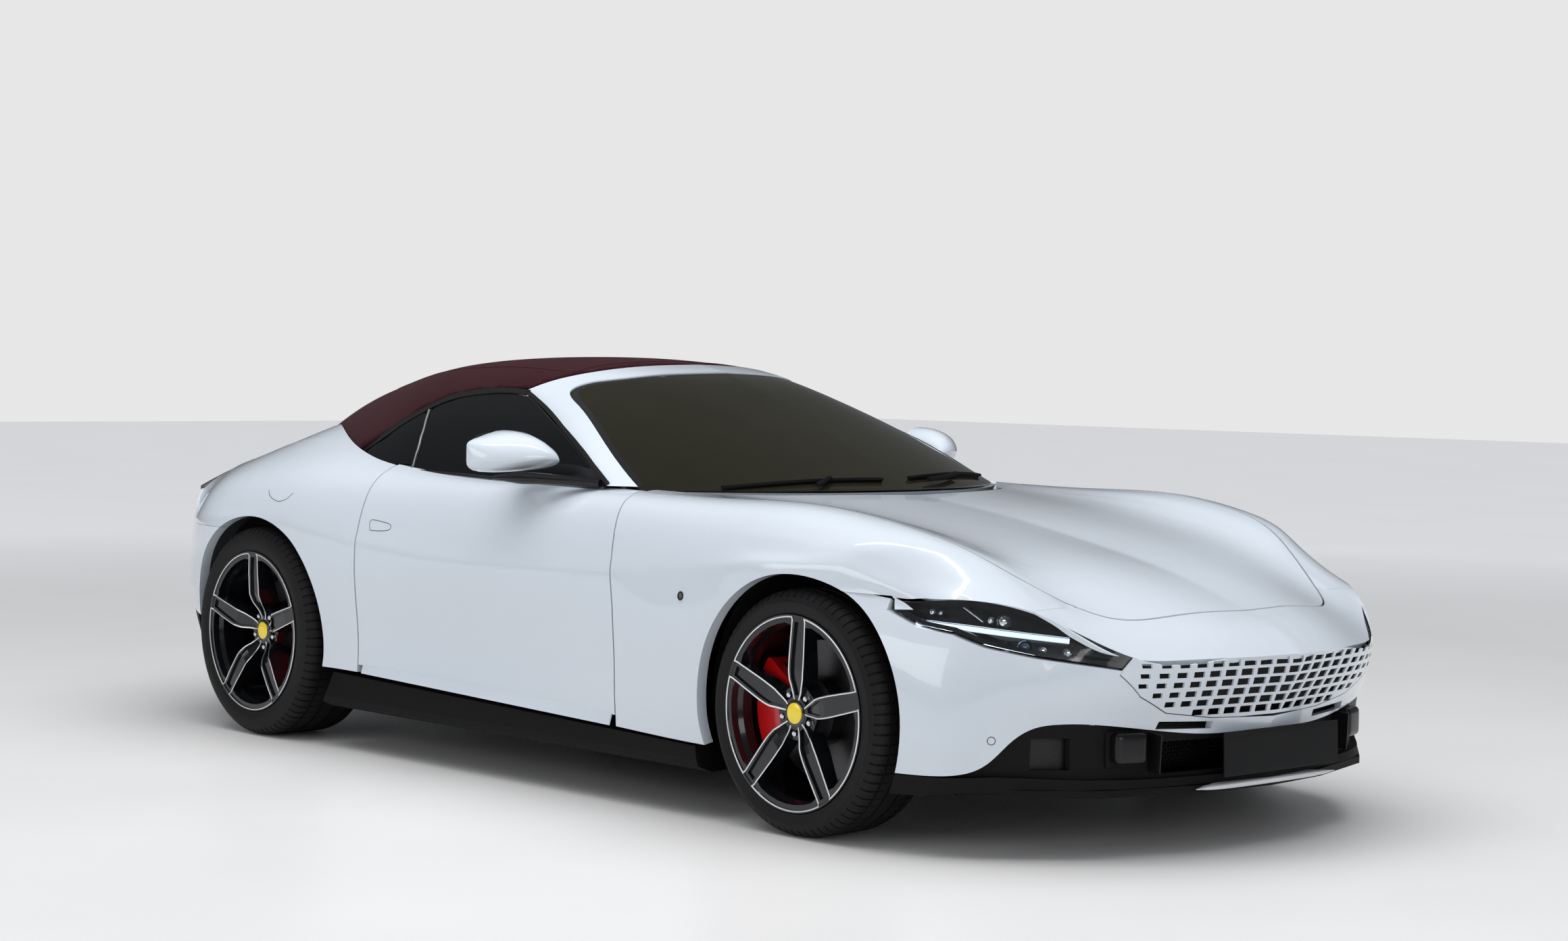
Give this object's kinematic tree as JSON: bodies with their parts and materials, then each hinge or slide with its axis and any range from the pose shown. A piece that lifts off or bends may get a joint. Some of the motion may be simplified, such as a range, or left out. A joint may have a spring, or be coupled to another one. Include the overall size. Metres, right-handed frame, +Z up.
{
  "type": "two-door open grand touring car with a fabric top",
  "caption": "Two-door grand touring car with a fabric folding top, opening doors, bonnet and boot, steering and rolling wheels.",
  "frame": {"origin": "on the ground below the middle of the wheelbase, which is the middle of the length and width", "axes": "+X forward, +Y to the car's left, +Z up"},
  "size_m": [4.6562, 2.1102, 1.3043],
  "materials": {
    "body_paint": "gloss",
    "tinted_glass": "clear",
    "top_fabric": "woven",
    "clear_cover": "clear",
    "lamp_lens": "gloss",
    "tail_lamp": "gloss",
    "black_trim": "satin",
    "exhaust_steel": "satin",
    "interior_panel": "matte",
    "seat_leather": "satin",
    "cast_iron": "satin",
    "caliper_red": "gloss",
    "wheel_alloy": "gloss",
    "tyre": "matte",
    "disc": "satin"
  },
  "bodies": {
    "body": {"front_fenders": "body_paint", "quarter_panels": "body_paint", "front_bumper": "body_paint", "rear_bumper": "body_paint", "tonneau_cover": "body_paint", "windscreen_frame": "body_paint", "windscreen": "tinted_glass", "soft_top": "top_fabric", "rear_window": "tinted_glass", "quarter_glass": "tinted_glass", "cowl": "black_trim", "grille": "body_paint", "headlamps": "lamp_lens", "lamp_covers": "clear_cover", "tail_lamps": "tail_lamp", "splitter": "black_trim", "side_skirts": "black_trim", "diffuser": "black_trim", "exhausts": "exhaust_steel", "floor_pan": "black_trim", "wheel_housings": "black_trim", "cabin_tub": "interior_panel", "boot_tub": "interior_panel", "dashboard": "interior_panel", "console": "interior_panel", "seats": "seat_leather", "engine": "cast_iron", "front_subframe": "cast_iron", "rear_subframe": "cast_iron", "rear_calipers": "caliper_red"},
    "bonnet": {"bonnet": "body_paint"},
    "boot_lid": {"boot_lid": "body_paint"},
    "steering_wheel": {"steering_wheel": "seat_leather"},
    "door_left": {"door_left": "body_paint", "door_glass_left": "tinted_glass", "door_mirror_left": "body_paint"},
    "front_hub_left": {"knuckle_left": "cast_iron", "front_caliper_left": "caliper_red"},
    "front_wheel_left": {"front_wheel_left": "wheel_alloy", "front_tyre_left": "tyre", "front_disc_left": "disc"},
    "rear_wheel_left": {"rear_wheel_left": "wheel_alloy", "rear_tyre_left": "tyre", "rear_disc_left": "disc"},
    "door_right": {"door_right": "body_paint", "door_glass_right": "tinted_glass", "door_mirror_right": "body_paint"},
    "front_hub_right": {"knuckle_right": "cast_iron", "front_caliper_right": "caliper_red"},
    "front_wheel_right": {"front_wheel_right": "wheel_alloy", "front_tyre_right": "tyre", "front_disc_right": "disc"},
    "rear_wheel_right": {"rear_wheel_right": "wheel_alloy", "rear_tyre_right": "tyre", "rear_disc_right": "disc"}
  },
  "joints": [
    {"name": "steer_left", "type": "hinge", "parent": "body", "child": "front_hub_left", "pos_m": [1.335, 0.755, 0.34], "axis": [0, 0, 1], "range_deg": [-33, 33]},
    {"name": "spin_front_left", "type": "hinge", "parent": "front_hub_left", "child": "front_wheel_left", "pos_m": [1.335, 0.828, 0.34], "axis": [0, 1, 0], "continuous": true},
    {"name": "spin_rear_left", "type": "hinge", "parent": "body", "child": "rear_wheel_left", "pos_m": [-1.335, 0.842, 0.354], "axis": [0, 1, 0], "continuous": true},
    {"name": "door_left_hinge", "type": "hinge", "parent": "body", "child": "door_left", "pos_m": [0.575, 0.982, 0.6], "axis": [0, 0, -1], "range_deg": [0, 62]},
    {"name": "steer_right", "type": "hinge", "parent": "body", "child": "front_hub_right", "pos_m": [1.335, -0.755, 0.34], "axis": [0, 0, 1], "range_deg": [-33, 33]},
    {"name": "spin_front_right", "type": "hinge", "parent": "front_hub_right", "child": "front_wheel_right", "pos_m": [1.335, -0.828, 0.34], "axis": [0, 1, 0], "continuous": true},
    {"name": "spin_rear_right", "type": "hinge", "parent": "body", "child": "rear_wheel_right", "pos_m": [-1.335, -0.842, 0.354], "axis": [0, 1, 0], "continuous": true},
    {"name": "door_right_hinge", "type": "hinge", "parent": "body", "child": "door_right", "pos_m": [0.575, -0.982, 0.6], "axis": [0, 0, 1], "range_deg": [0, 62]},
    {"name": "bonnet_hinge", "type": "hinge", "parent": "body", "child": "bonnet", "pos_m": [0.56, 0, 0.946], "axis": [0, -1, 0], "range_deg": [0, 58]},
    {"name": "boot_hinge", "type": "hinge", "parent": "body", "child": "boot_lid", "pos_m": [-1.775, 0, 1], "axis": [0, 1, 0], "range_deg": [0, 70]},
    {"name": "steering_wheel_turn", "type": "hinge", "parent": "body", "child": "steering_wheel", "pos_m": [0.205, 0.37, 0.724], "axis": [0.9435, 0, 0.3315], "range_deg": [-430, 430]}
  ],
  "couplings": [
    {"joint": "steer_right", "follows": "steer_left", "ratio": 1},
    {"joint": "steering_wheel_turn", "follows": "steer_left", "ratio": -13}
  ]
}
